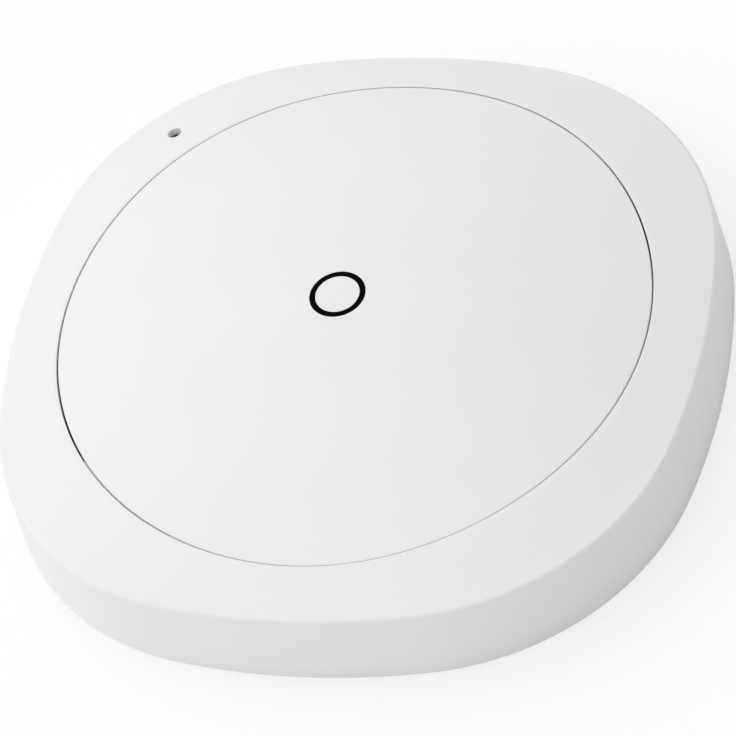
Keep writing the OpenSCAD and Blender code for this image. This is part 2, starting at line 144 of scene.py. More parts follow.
def weld():
    """Selects the open mesh and merges its doubled points."""
    bpy.ops.mesh.select_all(action="SELECT")
    bpy.ops.mesh.remove_doubles(threshold=weld_gap)


def close():
    """Welds and closes the open mesh, turns its faces outwards and ends the editing."""
    bpy.ops.mesh.select_mode(type="VERT")
    weld()
    bpy.ops.mesh.fill_holes(sides=0)
    bpy.ops.mesh.select_all(action="SELECT")
    bpy.ops.mesh.normals_make_consistent(inside=False)
    bpy.ops.object.mode_set(mode="OBJECT")


def take(piece):
    """Makes the piece the only one that is selected."""
    bpy.ops.object.select_all(action="DESELECT")
    piece.select_set(True)
    bpy.context.view_layer.objects.active = piece


def fit(piece, tool, how):
    """Joins a closed tool to the piece or cuts it out of it, and takes the tool away."""
    take(piece)
    bpy.ops.object.modifier_add(type="BOOLEAN")
    change = piece.modifiers[-1]
    change.operation = how
    change.object = tool
    change.solver = "EXACT"
    bpy.ops.object.modifier_apply(modifier=change.name)
    bpy.data.objects.remove(tool)


def polish(piece, degrees=35):
    """Shades the piece smooth up to its sharp edges, with the larger faces leading."""
    take(piece)
    bpy.ops.object.shade_smooth_by_angle(angle=math.radians(degrees))
    bpy.ops.object.modifier_add(type="WEIGHTED_NORMAL")
    piece.modifiers[-1].keep_sharp = True
    bpy.ops.object.modifier_apply(modifier=piece.modifiers[-1].name)


def mount(piece, body, slot, material, *nodes):
    """Gives the piece its material and puts it on its body in place of the CAD nodes."""
    piece.data.materials.clear()
    piece.data.materials.append(material)
    if nodes:
        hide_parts(*nodes)
    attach(piece, body)


def plug(tree, node, **inputs):
    """Fills in a shader node's inputs: a pair of node and output is linked, anything else is set."""
    for name, value in inputs.items():
        socket = node.inputs[int(name[1:])] if name[1:].isdigit() else node.inputs[name.replace("_", " ")]
        if isinstance(value, tuple) and isinstance(value[0], bpy.types.Node):
            tree.links.new(value[0].outputs[value[1]], socket)
        else:
            socket.default_value = value


def add(tree, kind, settings=None, **inputs):
    """A new shader node with some of its settings and inputs filled in."""
    node = tree.nodes.new(kind)
    for name, value in (settings or {}).items():
        setattr(node, name, value)
    plug(tree, node, **inputs)
    return node


def reckon(tree, operation, *values):
    """The result of one step of arithmetic."""
    inputs = {f"_{i}": value for i, value in enumerate(values)}
    return add(tree, "ShaderNodeMath", {"operation": operation}, **inputs), "Value"


def noise(tree, place, scale, detail):
    """A cloudy pattern that fills space."""
    return add(tree, "ShaderNodeTexNoise", Vector=place, Scale=scale, Detail=detail), "Fac"


def spread(tree, value, low, high, **ends):
    """A value spread from low to high."""
    return add(tree, "ShaderNodeMapRange", Value=value, To_Min=low, To_Max=high, **ends), "Result"


def new_group(name, ins, outs):
    """An empty shader group with its sockets, and its two end nodes."""
    tree = bpy.data.node_groups.new(name, "ShaderNodeTree")
    for label, kind in ins:
        tree.interface.new_socket(label, in_out="INPUT", socket_type=kind)
    for label, kind in outs:
        tree.interface.new_socket(label, in_out="OUTPUT", socket_type=kind)
    return tree, tree.nodes.new("NodeGroupInput"), tree.nodes.new("NodeGroupOutput")


def new_material(name):
    """A material, its tree and its output node."""
    material = bpy.data.materials.new(name)
    material.use_nodes = True
    material.node_tree.nodes.clear()
    return material, material.node_tree, material.node_tree.nodes.new("ShaderNodeOutputMaterial")


# Grain of a moulded plastic: fine pits from the eroded tool, and a slow drift of gloss and tone
grain_group, grain_in, grain_out = new_group(
    "moulded_grain",
    [("Tone", "NodeSocketColor"), ("Gloss", "NodeSocketFloat")],
    [("Color", "NodeSocketColor"), ("Roughness", "NodeSocketFloat"), ("Height", "NodeSocketFloat")])
spot = add(grain_group, "ShaderNodeTexCoord")
pits = noise(grain_group, (spot, "Object"), 7000.0, 3.0)
drift = noise(grain_group, (spot, "Object"), 90.0, 4.0)
shade = spread(grain_group, drift, 0.985, 1.0, From_Min=0.3, From_Max=0.7)
tone = add(grain_group, "ShaderNodeVectorMath", {"operation": "SCALE"}, Vector=(grain_in, "Tone"),
           Scale=shade)
half_pits = reckon(grain_group, "MULTIPLY", pits, 0.5)
both = reckon(grain_group, "MULTIPLY_ADD", drift, 0.5, half_pits)
swing = spread(grain_group, both, -0.05, 0.05, From_Min=0.3, From_Max=0.7)
rough = reckon(grain_group, "ADD", (grain_in, "Gloss"), swing)
plug(grain_group, grain_out, Color=(tone, "Vector"), Roughness=rough, Height=pits)


def moulded(name, tone, gloss, depth, shine=0.5):
    """A moulded plastic of one tone."""
    material, tree, out = new_material(name)
    grain = add(tree, "ShaderNodeGroup", {"node_tree": grain_group}, Tone=(*tone, 1.0), Gloss=gloss)
    bump = add(tree, "ShaderNodeBump", Strength=0.25, Distance=depth * mm, Height=(grain, "Height"))
    skin = add(tree, "ShaderNodeBsdfPrincipled", Base_Color=(grain, "Color"), Roughness=(grain, "Roughness"),
               Normal=(bump, "Normal"), IOR=1.5, Specular_IOR_Level=shine)
    plug(tree, out, Surface=(skin, "BSDF"))
    return material


white_shell = moulded("white_shell", (0.8, 0.8, 0.8), 0.42, 0.004)

cover_gap = 0.15
cover_x = body_w / 2 - wall_t - cover_gap
lip_t = 1.2
lip_in = cover_x - lip_t
lip_z = 3.7
plate_t = 1.4
plate_band = 2
rear_plate = begin("rear_plate")
draw([(lip_in - plate_band, 0, plate_t), (lip_in, 0, plate_t), (lip_in, 0, lip_z), (cover_x, 0, lip_z),
      (cover_x, 0, 0), (cover_x - plate_band, 0, 0)],
     [(1, 0.4, 4), (2, 0.25, 3), (3, 0.25, 3), (4, 0.3, 4)])
sweep_outline(24, 28)
close()

wall_holes = (-22, 22)
hole_r = 2.1
hole_edge = 0.2
sink_r = 4.0
sink_z = 0.7
pad_r = 5.2
pad_z = 2.6
pads = begin("pads")
for x in wall_holes:
    add_rod(x, 0, pad_r, sink_z, pad_z, 72, [(2, 0.25, 3)])
close()
fit(rear_plate, pads, "UNION")
holes = begin("holes")
for x in wall_holes:
    add_turned(x, 0, [(0, -1), (hole_r + hole_edge, -1), (hole_r + hole_edge, 0), (hole_r, hole_edge),
                      (hole_r, sink_z), (sink_r, pad_z), (sink_r + 1, pad_z + 1), (0, pad_z + 1)], 72)
close()
fit(rear_plate, holes, "DIFFERENCE")

bead_r = 0.5
bead_fit = 0.05
bead_low, bead_high = 1.1, 3.4
bead_angle = 0.6 * side_angle
bead_line = side_r - wall_t - bead_fit - bead_r
beads = begin("beads")
for side in (-1, 1):
    x = bead_line * math.cos(bead_angle) - side_back
    y = side * bead_line * math.sin(bead_angle)
    add_rod(x, y, bead_r, bead_low, bead_high, 20, [(1, 0.3, 3), (2, 0.3, 3)])
for quarter in range(3):
    pick(lambda p: p.x > body_w / 4)
    bpy.ops.mesh.duplicate()
    bpy.ops.transform.rotate(value=(quarter + 1) * math.pi / 2, orient_axis="Z", center_override=(0, 0, 0))
close()
fit(rear_plate, beads, "UNION")
polish(rear_plate)
mount(rear_plate, "wall_plate", "white_shell", white_shell, "rear_cover")


# Front housing: the white shell that is seen, moulded in one piece with a crowned top and bowed sides.
# A round opening with a collar guides the button, and a pinhole near one corner lets the light out.
# Inside are three screw bosses, four ribs that rest on the rear cover's rim, and a well for the light pipe.
side_lean = 0.3
edge_z = 8.9
crown_h = 5.7
rim_z = 0.3
edge_half = body_w / 2 - side_lean
corner_ratio = (corner_out * math.sqrt(2) + corner_r - side_lean) / edge_half
square_share = (corner_ratio ** 2 - 1) / (1 + corner_ratio ** 4)
dome_drop = crown_h / (1 + square_share)
square_drop = crown_h - dome_drop


def crown(x, y):
    """Height of the crowned top."""
    u, v = x / edge_half, y / edge_half
    return (edge_z + crown_h - dome_drop * (u * u + v * v)
            - square_drop * (u ** 4 - 6 * u * u * v * v + v ** 4))


def move_points(test, height):
    """Sets the height of the open mesh's points that pass the test."""
    mesh = bmesh.from_edit_mesh(bpy.context.object.data)
    for v in mesh.verts:
        p = v.co / mm
        if test(p):
            v.co.z = height(p) * mm
    bmesh.update_edit_mesh(bpy.context.object.data)


bore_r = 29.35
collar_t = 1.4
collar_r = bore_r + collar_t
collar_z = 8.0
wall_x = body_w / 2 - wall_t
ceiling_z = crown(collar_r, 0) - wall_t
ceiling_low = crown(wall_x, 0) - wall_t
ceiling_slope = (ceiling_z - ceiling_low) / (wall_x - collar_r)
near_x = edge_half - 2.2
mid_x = edge_half - 1.3
seam_low = crown(bore_r, 0) - 0.3
seam_edge = 0.08
side_steps, corner_steps = 40, 48
ring_steps = 4 * (side_steps + corner_steps)
housing_shell = begin("housing_shell")
draw([(near_x, 0, crown(near_x, 0)), (mid_x, 0, crown(mid_x, 0)), (edge_half, 0, edge_z),
      (body_w / 2, 0, rim_z), (wall_x, 0, rim_z), (wall_x, 0, ceiling_low)],
     [(2, 0.36, 6), (3, 0.4, 5), (4, 0.15, 2)])
sweep_outline(side_steps, corner_steps)
bore_line = [(bore_r, crown(bore_r, 0)), (bore_r, collar_z), (collar_r, collar_z), (collar_r, ceiling_z)]
add_turned(0, 0, bore_line, ring_steps, [(1, 0.15, 2), (2, 0.15, 2)])
weld()
pick(lambda p: p.z > crown(near_x, 0) - 0.01, "EDGE")
bpy.ops.mesh.bridge_edge_loops(number_cuts=6)
pick(lambda p: abs(p.z - ceiling_low) < 0.05 or
     abs(p.z - ceiling_z) < 0.05 and math.hypot(p.x, p.y) < collar_r + 0.1, "EDGE")
bpy.ops.mesh.bridge_edge_loops(number_cuts=2)
move_points(lambda p: p.z > edge_z + 0.3, lambda p: crown(p.x, p.y))
move_points(lambda p: ceiling_low - 0.05 < p.z < ceiling_z - 0.005 and math.hypot(p.x, p.y) > collar_r + 0.01,
            lambda p: ceiling_z - ceiling_slope * (math.hypot(p.x, p.y) - collar_r))
pick(lambda p: abs(math.hypot(p.x, p.y) - bore_r) < 0.02 and p.z > seam_low, "EDGE")
bpy.ops.mesh.bevel(offset=seam_edge * mm, segments=3)
close()

diagonal = math.sqrt(0.5)
pinhole_r = 0.7
light_out = bore_r + 3.8
light_x, light_y = -light_out * diagonal, light_out * diagonal
well_r = 2.25
well_foot = 7.35
well_top = 8.2
flange_room = 1.35
boss_r = 2.1
boss_out = bore_r + 1.1 + boss_r
boss_foot = 6.6
boss_root = 8.9
bosses = [(boss_out * diagonal * sx, boss_out * diagonal * sy) for sx, sy in ((1, 1), (-1, -1), (1, -1))]
inner = begin("inner")
for x, y in bosses:
    add_rod(x, y, boss_r, boss_foot, boss_root, 40, [(1, 0.2, 2)])
add_rod(light_x, light_y, well_r, well_foot, boss_root, 40, [(1, 0.2, 2)])
close()
fit(housing_shell, inner, "UNION")


def add_block(centre, size, edge=0, angle=0):
    """Adds a box to the open mesh, turned about Z, with its edges rounded."""
    bpy.ops.mesh.primitive_cube_add(size=mm, location=Vector(centre) * mm, rotation=(0, 0, angle), scale=size)
    if edge:
        bpy.ops.mesh.bevel(offset=edge * mm, segments=2)


rib_low, rib_high = lip_z + 0.05, 8.3
rib_size = (1.7, 2.0, rib_high - rib_low)
ribs = begin("ribs")
for quarter in range(4):
    angle = quarter * math.pi / 2
    centre = Matrix.Rotation(angle, 3, "Z") @ Vector((wall_x - 0.35, 0, (rib_low + rib_high) / 2))
    add_block(centre, rib_size, 0.15, angle)
close()
fit(housing_shell, ribs, "UNION")

screw_hole_r = 1.0
notch_w = 9
notch_top = rim_z + 0.9
cuts = begin("cuts")
for x, y in bosses:
    add_rod(x, y, screw_hole_r, boss_foot - 0.6, boss_root + 0.2, 32)
add_turned(light_x, light_y, [(0, well_foot - 0.85), (flange_room, well_foot - 0.85), (flange_room, well_top),
                              (pinhole_r, well_top), (pinhole_r, 12), (0, 12)], 48)
add_block((0, body_w / 2 - 0.9, notch_top - 1.1), (notch_w, 3.8, 2.2))
pick(lambda p: abs(abs(p.x) - notch_w / 2) < 0.01 and p.z > notch_top - 0.2, "EDGE")
bpy.ops.mesh.bevel(offset=0.4 * mm, segments=4)
close()
fit(housing_shell, cuts, "DIFFERENCE")
pinhole_low = crown(light_x, light_y) - 0.3
bpy.ops.object.mode_set(mode="EDIT")
pick(lambda p: abs(math.hypot(p.x - light_x, p.y - light_y) - pinhole_r) < 0.01 and p.z > pinhole_low, "EDGE")
bpy.ops.mesh.bevel(offset=0.08 * mm, segments=2)
bpy.ops.object.mode_set(mode="OBJECT")
polish(housing_shell)
mount(housing_shell, "front_unit", "white_shell", white_shell, "front_housing")


# Light pipe: an acrylic pin with a flange, moulded, polished and pressed up into its well.
# Its domed end stops a little below the surface, and its near-black tint is painted shade that darkens the
# pinhole.
flange_r = 1.3
flange_top = well_top - 0.05
pin_r = 0.65
pin_end = crown(light_x, light_y) - 0.9
light_pin = begin("light_pin")
pin_line = [(0, well_foot), (flange_r, well_foot), (flange_r, flange_top), (pin_r, flange_top),
            (pin_r, pin_end), (0, pin_end)]
add_turned(light_x, light_y, pin_line, 40, [(1, 0.1, 2), (2, 0.1, 2), (4, 0.3, 4)])
close()
polish(light_pin)
clear_pipe, tree, out = new_material("clear_pipe")
spot = add(tree, "ShaderNodeTexCoord")
haze = noise(tree, (spot, "Object"), 3000.0, 2.0)
# Near-black tint: painted shade, standing in for the dark depth of the pinhole.
skin = add(tree, "ShaderNodeBsdfPrincipled", Base_Color=(0.05, 0.052, 0.055, 1.0),
           Roughness=spread(tree, haze, 0.05, 0.16), IOR=1.49, Transmission_Weight=1.0)
plug(tree, out, Surface=(skin, "BSDF"))
mount(light_pin, "front_unit", "clear_pipe", clear_pipe, "light_pipe")


# Circuit board: one millimetre of glass-fibre laminate with a green solder mask, screwed under the bosses.
# Its edge notches fit over the housing's ribs.
# Bare laminate shows at the edge, and plated vias dot both faces, their holes painted near-black as painted
# shade.
board_top = boss_foot
board_z = board_top - 1
board_x = wall_x - 0.4
board_band = 2
board_hole_r = 1.1
rib_slot = (3, 2.8, 3)
board = begin("board")
draw([(board_x - board_band, 0, board_z), (board_x, 0, board_z), (board_x, 0, board_top),
      (board_x - board_band, 0, board_top)], [(1, 0.05, 1), (2, 0.05, 1)])
sweep_outline(24, 28)
close()
cuts = begin("board_cuts")
for x, y in bosses:
    add_rod(x, y, board_hole_r, board_z - 0.6, board_top + 0.4, 32)
for quarter in range(4):
    angle = quarter * math.pi / 2
    centre = Matrix.Rotation(angle, 3, "Z") @ Vector((wall_x - 0.1, 0, board_z + 0.4))
    add_block(centre, rib_slot, 0, angle)
close()
fit(board, cuts, "DIFFERENCE")
polish(board)


def blend(tree, share, first, second):
    """Two colours mixed by a share of the second."""
    return add(tree, "ShaderNodeMix", {"data_type": "RGBA"}, _0=share, _6=first, _7=second), 2


board_mask, tree, out = new_material("board_mask")
spot = add(tree, "ShaderNodeTexCoord")
weave = noise(tree, (spot, "Object"), 2500.0, 2.0)
cloud = noise(tree, (spot, "Object"), 160.0, 3.0)
green = blend(tree, cloud, (0.007, 0.095, 0.04, 1), (0.011, 0.125, 0.052, 1))
via_ring, via_hole = 0.07, 0.035
vias = add(tree, "ShaderNodeTexVoronoi", Vector=(spot, "Object"), Scale=190.0, Randomness=0.8)
plated = reckon(tree, "LESS_THAN", (vias, "Distance"), via_ring)
# The via holes are not cut: their middles are painted near-black, painted shade for the holes.
via_hole_shade_mask = reckon(tree, "LESS_THAN", (vias, "Distance"), via_hole)
tinned = blend(tree, plated, green, (0.6, 0.52, 0.36, 1))
vias_with_hole_shade = blend(tree, via_hole_shade_mask, tinned, (0.01, 0.012, 0.01, 1))
parts = add(tree, "ShaderNodeSeparateXYZ", Vector=(spot, "Normal"))
flat = reckon(tree, "GREATER_THAN", reckon(tree, "ABSOLUTE", (parts, "Z")), 0.6)
laminate = blend(tree, weave, (0.36, 0.33, 0.17, 1), (0.5, 0.46, 0.27, 1))
bump = add(tree, "ShaderNodeBump", Strength=0.2, Distance=0.01 * mm, Height=weave)
skin = add(tree, "ShaderNodeBsdfPrincipled", Base_Color=blend(tree, flat, laminate, vias_with_hole_shade),
           Roughness=spread(tree, weave, 0.26, 0.42), Normal=(bump, "Normal"))
plug(tree, out, Surface=(skin, "BSDF"))
mount(board, "front_unit", "board_mask", board_mask, "circuit_board")


def lay_strip(path, width, low, high):
    """Lays flat strips along a path in the open mesh, each a hair below the last."""
    for (x0, y0), (x1, y1) in zip(path, path[1:]):
        low -= 0.002
        add_block(((x0 + x1) / 2, (y0 + y1) / 2, (low + high) / 2),
                  (math.hypot(x1 - x0, y1 - y0) + 0.4 * width, width, high - low),
                  0, math.atan2(y1 - y0, x1 - x0))


# Copper tracks under the mask on the wall side of the board, and the white print round its parts
copper_z = board_z - 0.03
ink_z = board_z - 0.015
strip_root = board_z + 0.02
signal_w, power_w = 0.3, 1.4
tracks = begin("tracks")
for path in (
        ((-5.08, 15.8), (-5.08, 18.8), (-8.5, 22.2), (-8.5, 27.5)),
        ((-2.54, 15.8), (-2.54, 20), (-5.5, 23), (-5.5, 28.5)),
        ((0, 15.8), (0, 24.5), (2.5, 27)),
        ((2.54, 15.8), (2.54, 19.8), (7.5, 24.8), (13.5, 24.8)),
        ((5.08, 15.8), (5.08, 17.9), (9, 21.8), (16.5, 21.8)),
        ((14.9, -16.2), (11.5, -16.2), (6.8, -20.9), (-7.5, -20.9), (-12, -16.4), (-12, -14)),
        ((14.9, -17.8), (12.2, -17.8), (7.5, -22.5), (-12.5, -22.5), (-16.5, -18.5)),
        ((19.1, -16.2), (22, -16.2), (25.4, -12.8), (25.4, -7)),
        ((19.1, -17.8), (19.8, -18.5), (19.8, -24), (15, -28)),
        ((-14.5, 7), (-19, 7), (-24.2, 12.2), (-24.2, 17)),
        ((-13.2, 9.5), (-18, 9.5), (-22.4, 13.9), (-22.4, 20)),
        ((15, 8), (18.5, 8), (21.5, 11), (21.5, 16.5)),
        ((-27.5, -6), (-27.5, 3), (-25, 5.5))):
    lay_strip(path, signal_w, copper_z, strip_root)
for side in (-1, 1):
    path = ((side * 12.5, 0), (side * 19, 0), (side * 23.5, side * 4.5), (side * 23.5, side * 9))
    lay_strip(path, power_w, copper_z, strip_root)
close()
polish(tracks)
covered_copper = moulded("covered_copper", (0.02, 0.21, 0.085), 0.3, 0.004)
mount(tracks, "front_unit", "board_mask", covered_copper)

reset_x, reset_y = 17, -17
circle_in, circle_out = 12.35, 12.5
print_lines = begin("print_lines")
add_turned(0, 0, [(circle_in, ink_z), (circle_out, ink_z), (circle_out, strip_root), (circle_in, strip_root),
                  (circle_in, ink_z)], 96)
for x, y, w, h in ((reset_x, reset_y, 5.4, 4.2), (0, 15.8, 13, 2.5)):
    box = [(x + w / 2 * sx, y + h / 2 * sy) for sx, sy in ((-1, -1), (1, -1), (1, 1), (-1, 1), (-1, -1))]
    lay_strip(box, circle_out - circle_in, ink_z, strip_root)
close()
polish(print_lines)
white_ink = moulded("white_ink", (0.72, 0.72, 0.7), 0.6, 0.006)
mount(print_lines, "front_unit", "board_mask", white_ink)


# Board screws: three small pan-head steel screws with a cross recess, cold headed and tinned.
# They are driven from the wall side, through the board and up into the housing's bosses.
screw_x, screw_y = bosses[0]
screw_head_r = 1.8
screw_head_z = 4.4
shank_r = 0.95
shank_end = 8.8
recess_z = 5.1
screws = begin("screws")
add_turned(screw_x, screw_y, [(0, screw_head_z), (screw_head_r, screw_head_z), (screw_head_r, board_z),
                              (shank_r, board_z), (shank_r, shank_end), (0, shank_end)],
           48, [(1, 0.7, 6), (4, 0.3, 2)])
close()
for size in ((2.2, 0.5), (0.5, 2.2)):
    recess = begin("recess")
    add_block((screw_x, screw_y, recess_z - 0.6), (*size, 1.2))
    pick(lambda p: p.z > recess_z - 0.05, "FACE")
    bpy.ops.transform.resize(value=(0.6, 0.6, 1), center_override=Vector((screw_x, screw_y, recess_z)) * mm)
    close()
    fit(screws, recess, "DIFFERENCE")


def copy_along(places):
    """Copies what is selected in the open mesh from the first of the places to each of the others."""
    for here, there in zip(places, places[1:]):
        step = Vector((there[0] - here[0], there[1] - here[1], 0)) * mm
        bpy.ops.mesh.duplicate_move(TRANSFORM_OT_translate={"value": step})


bpy.ops.object.mode_set(mode="EDIT")
bpy.ops.mesh.select_all(action="SELECT")
copy_along(bosses)
bpy.ops.object.mode_set(mode="OBJECT")
polish(screws)

# Drawn and tinned sheet metal: fine streaks along one direction, and a slow stain in tone and gloss
metal_group, metal_in, metal_out = new_group(
    "drawn_metal",
    [("Spot", "NodeSocketVector"), ("Tone", "NodeSocketColor"), ("Gloss", "NodeSocketFloat")],
    [("Color", "NodeSocketColor"), ("Roughness", "NodeSocketFloat"), ("Height", "NodeSocketFloat")])
along = add(metal_group, "ShaderNodeMapping", Vector=(metal_in, "Spot"), Scale=(600.0, 14000.0, 600.0))
streaks = noise(metal_group, (along, "Vector"), 1.0, 2.0)
stain = noise(metal_group, (metal_in, "Spot"), 350.0, 4.0)
shade = spread(metal_group, stain, 0.93, 1.0, From_Min=0.3, From_Max=0.7)
tone = add(metal_group, "ShaderNodeVectorMath", {"operation": "SCALE"}, Vector=(metal_in, "Tone"),
           Scale=shade)
swing = spread(metal_group, streaks, -0.08, 0.1, From_Min=0.3, From_Max=0.7)
rough = reckon(metal_group, "ADD", (metal_in, "Gloss"), swing)
plug(metal_group, metal_out, Color=(tone, "Vector"), Roughness=rough, Height=streaks)


def drawn(name, tone, gloss):
    """A sheet metal of one tone, streaked along X."""
    material, tree, out = new_material(name)
    spot = add(tree, "ShaderNodeTexCoord")
    metal = add(tree, "ShaderNodeGroup", {"node_tree": metal_group}, Spot=(spot, "Object"), Tone=(*tone, 1.0),
                Gloss=gloss)
    bump = add(tree, "ShaderNodeBump", Strength=0.12, Distance=0.006 * mm, Height=(metal, "Height"))
    skin = add(tree, "ShaderNodeBsdfPrincipled", Base_Color=(metal, "Color"), Metallic=1.0,
               Roughness=(metal, "Roughness"), Normal=(bump, "Normal"))
    plug(tree, out, Surface=(skin, "BSDF"))
    return material


tinned_steel = drawn("tinned_steel", (0.66, 0.66, 0.64), 0.3)
mount(screws, "front_unit", "tinned_steel", tinned_steel, "board_screws")


# Press switch: a 6 mm push switch under the middle of the button, in black nylon under a tinned steel plate.
# Four studs hold the plate and four legs are soldered to the board.
# The stem stands on a gold-plated snap dome.
def add_slab(x, y, size, low, high, corner, steps):
    """Adds an upright block with its four upright edges rounded."""
    middle = (low + high) / 2
    add_block((x, y, middle), (*size, high - low))
    pick(lambda p: abs(p.z - middle) < 0.01, "EDGE")
    bpy.ops.mesh.bevel(offset=corner * mm, segments=steps)


press_w = 6.2
press_h = 3.2
press_top = board_top + press_h
plate_top = press_top + 0.3
chamber_r = 2.5
chamber_z = board_top + press_h / 3
stud_places = [(2.4, 2.4), (-2.4, 2.4), (-2.4, -2.4), (2.4, -2.4)]
stud_r = 0.35
stud_head_r = 0.55
stud_top = plate_top + 0.2
black_plastic = moulded("black_plastic", (0.025, 0.025, 0.027), 0.5, 0.008)
switch_body = begin("switch_body")
add_slab(0, 0, (press_w, press_w), board_top, press_top, 0.3, 3)
close()
chamber = begin("chamber")
add_rod(0, 0, chamber_r, chamber_z, press_top + 1, 64)
close()
fit(switch_body, chamber, "DIFFERENCE")
studs = begin("studs")
add_turned(*stud_places[0], [(0, press_top - 0.3), (stud_r, press_top - 0.3), (stud_r, plate_top),
                             (stud_head_r, plate_top), (stud_head_r, stud_top), (0, stud_top)],
           24, [(4, 0.15, 3)])
bpy.ops.mesh.select_linked()
copy_along(stud_places)
close()
fit(switch_body, studs, "UNION")
polish(switch_body)
mount(switch_body, "front_unit", "black_plastic", black_plastic, "switch_base")


def push_out(line, way, rounds=()):
    """Draws a closed outline, fills it and pushes it out into a solid."""
    draw([*line, line[0]], rounds)
    bpy.ops.mesh.remove_doubles(threshold=weld_gap)
    bpy.ops.mesh.edge_face_add()
    bpy.ops.mesh.extrude_region_move(TRANSFORM_OT_translate={"value": Vector(way) * mm})


stem_hole_r = 1.85
tab_half = 1.5
tab_in = press_w / 2
tab_out = tab_in + 0.3
tab_low = board_top + 1.6
switch_plate = begin("switch_plate")
add_slab(0, 0, (press_w, press_w), press_top, plate_top, 0.3, 3)
close()
strap = begin("strap")
push_out([(-tab_half, y, z) for y, z in (
    (0, press_top), (tab_in, press_top), (tab_in, tab_low), (tab_out, tab_low), (tab_out, plate_top),
    (-tab_out, plate_top), (-tab_out, tab_low), (-tab_in, tab_low), (-tab_in, press_top))],
    (2 * tab_half, 0, 0), [(4, 0.25, 4), (5, 0.25, 4)])
close()
fit(switch_plate, strap, "UNION")
drills = begin("drills")
for place, radius in [((0, 0), stem_hole_r)] + [(place, stud_r + 0.01) for place in stud_places]:
    add_rod(*place, radius, press_top - 1, plate_top + 1, 48)
close()
fit(switch_plate, drills, "DIFFERENCE")
polish(switch_plate)
mount(switch_plate, "front_unit", "tinned_steel", tinned_steel, "switch_frame")

leg_w = 0.7
leg_pitch = 4.5
leg = [(0, 0.8), (0, 0), (1.4, 0), (1.4, 0.15), (0.15, 0.15), (0.15, 0.8)]
switch_legs = begin("switch_legs")
leg_line = [(press_w / 2 + x, (leg_pitch - leg_w) / 2, board_top + z) for x, z in leg]
push_out(leg_line, (0, leg_w, 0), [(1, 0.14, 3)])
bpy.ops.mesh.select_all(action="SELECT")
copy_along([(0, 0), (0, -leg_pitch)])
bpy.ops.mesh.select_all(action="SELECT")
bpy.ops.mesh.duplicate()
bpy.ops.transform.rotate(value=math.pi, orient_axis="Z", center_override=(0, 0, 0))
close()
polish(switch_legs)
mount(switch_legs, "front_unit", "tinned_steel", tinned_steel, "switch_terminals")

dome_r = 2.2
dome_rise = 0.6
dome_t = 0.1
dome_curve = (dome_r ** 2 + dome_rise ** 2) / (2 * dome_rise)
dome_low = chamber_z + dome_rise - dome_curve


def bow(radius, rows=8):
    """An arc of the snap dome, from its middle down to its foot."""
    lean = math.acos((chamber_z - dome_low) / radius)
    steps = [lean * i / rows for i in range(rows + 1)]
    return [(radius * math.sin(a), dome_low + radius * math.cos(a)) for a in steps]


snap_dome = begin("snap_dome")
add_turned(0, 0, bow(dome_curve) + bow(dome_curve - dome_t)[::-1], 64)
close()
polish(snap_dome)
gold_plate = drawn("gold_plate", (0.78, 0.56, 0.22), 0.28)
mount(snap_dome, "front_unit", "gold_plate", gold_plate, "switch_dome")
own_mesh(snap_dome)

foot_r = 2.35
foot_low = chamber_z + dome_rise + 0.05
foot_top = press_top - 0.05
stem_r = 1.7
stem_top = plate_top + 1.2
switch_stem = begin("switch_stem")
stem_line = [(0, foot_low), (foot_r, foot_low), (foot_r, foot_top), (stem_r, foot_top),
             (stem_r, stem_top), (0, stem_top)]
add_turned(0, 0, stem_line, 64, [(2, 0.1, 2), (4, 0.2, 4)])
close()
polish(switch_stem)
mount(switch_stem, "press_stem", "black_plastic", black_plastic, "switch_plunger")


# Radio module: a bought module on a small green board, with half-round solder points on its long sides.
# A pressed steel can covers the chips, and a folded gold trace at the free end is the aerial.
radio_l, radio_w, radio_y = 16, 11, -10
radio_top = board_top + 0.8
point_pitch = 1.27
point_r = 0.35
points = [(-7 + point_pitch * i, radio_y + radio_w / 2 * side) for side in (-1, 1) for i in range(9)]
radio_board = begin("radio_board")
add_block((0, radio_y, (board_top + radio_top) / 2), (radio_l, radio_w, radio_top - board_top))
close()
half_holes = begin("half_holes")
add_rod(*points[0], point_r, board_top - 1, radio_top + 1, 24)
bpy.ops.mesh.select_linked()
copy_along(points)
close()
fit(radio_board, half_holes, "DIFFERENCE")
polish(radio_board)
mount(radio_board, "front_unit", "board_mask", board_mask, "radio_module")

can_x, can_l, can_w = -1.7, 11, 9.4
can_top = radio_top + 1.8
panel_size = (can_l - 2, can_w - 2)
panel_deep = 0.12
radio_can = begin("radio_can")
add_slab(can_x, radio_y, (can_l, can_w), radio_top, can_top, 0.6, 4)
pick(lambda p: p.z > can_top - 0.01, "EDGE")
bpy.ops.mesh.bevel(offset=0.25 * mm, segments=3)
close()
panel = begin("panel")
add_slab(can_x, radio_y, panel_size, can_top - panel_deep, can_top + panel_deep, 0.5, 4)
pick(lambda p: p.z < can_top - panel_deep + 0.01, "FACE")
bpy.ops.transform.resize(value=(0.97, 0.97, 1), center_override=Vector((can_x, radio_y, 0)) * mm)
close()
fit(radio_can, panel, "DIFFERENCE")
polish(radio_can, 20)
mount(radio_can, "front_unit", "tinned_steel", tinned_steel, "radio_shield")


def dress(node, material):
    """Gives a solid that is shown as it is its finish."""
    solid = frame["nodes"][node]
    solid.data.materials.clear()
    solid.data.materials.append(material)


dress("radio_antenna", gold_plate)


